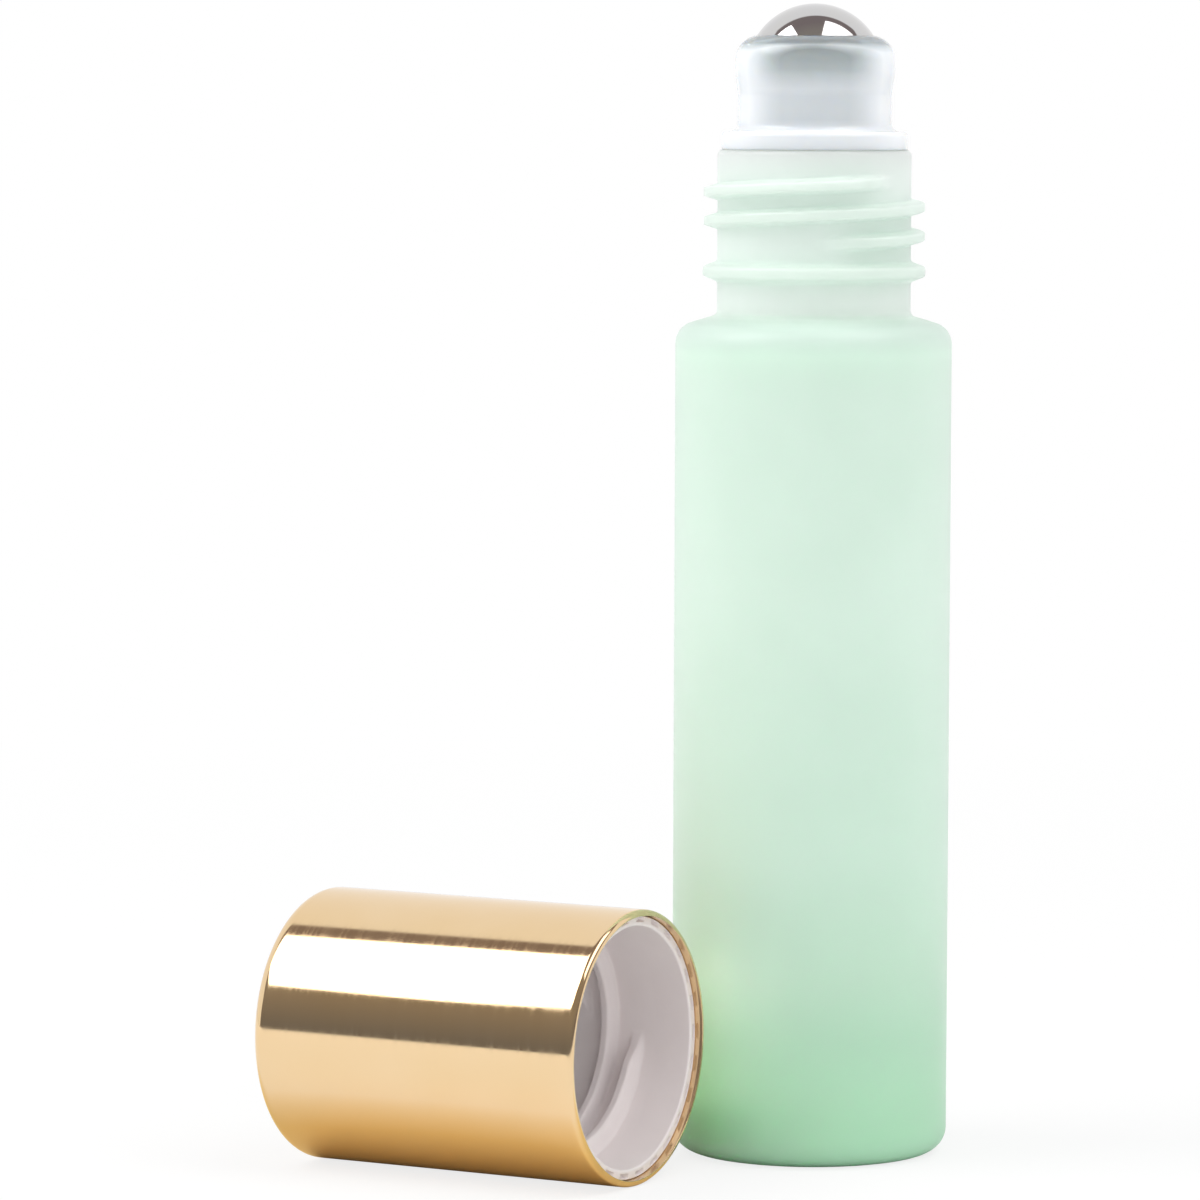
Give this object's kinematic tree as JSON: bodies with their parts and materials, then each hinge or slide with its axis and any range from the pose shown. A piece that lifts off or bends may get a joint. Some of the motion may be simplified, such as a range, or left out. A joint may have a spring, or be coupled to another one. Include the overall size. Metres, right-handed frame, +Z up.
{
  "type": "roll-on bottle",
  "caption": "Slim tinted glass roll-on bottle with a steel ball in a plastic housing; its gold metal screw cap with a threaded plastic liner lies beside it, taken off.",
  "frame": {"origin": "centre of the bottle's base, on the surface that the bottle and the cap stand on", "axes": "+Z up the bottle's axis; +X the way the lying cap's mouth faces, along the cap's axis"},
  "size_m": [0.039, 0.0405, 0.0834],
  "materials": {
    "mint_glass": "soda-lime glass with a sprayed and baked satin mint coat, denser towards the base",
    "natural_plastic": "natural polyethylene, moulded, milky and glossy",
    "polished_steel": "stainless steel ball, ground and polished to a mirror",
    "gold_aluminium": "drawn aluminium, polished and gold anodised",
    "white_plastic": "white polypropylene, moulded"
  },
  "bodies": {
    "bottle": {"glass_bottle": "mint_glass", "roller_housing": "natural_plastic"},
    "ball": {"roller_ball": "polished_steel"},
    "cap": {"cap_shell": "gold_aluminium", "cap_liner": "white_plastic"}
  },
  "joints": [
    {"name": "ball_roll", "type": "hinge", "parent": "bottle", "child": "ball", "pos_m": [0, 0, 0.07835], "axis": [1, 0, 0], "continuous": true},
    {"name": "cap_turn", "type": "hinge", "parent": "bottle", "child": "cap", "pos_m": [-0.0159, -0.0207, 0.0098], "axis": [1, 0, 0], "continuous": true}
  ]
}
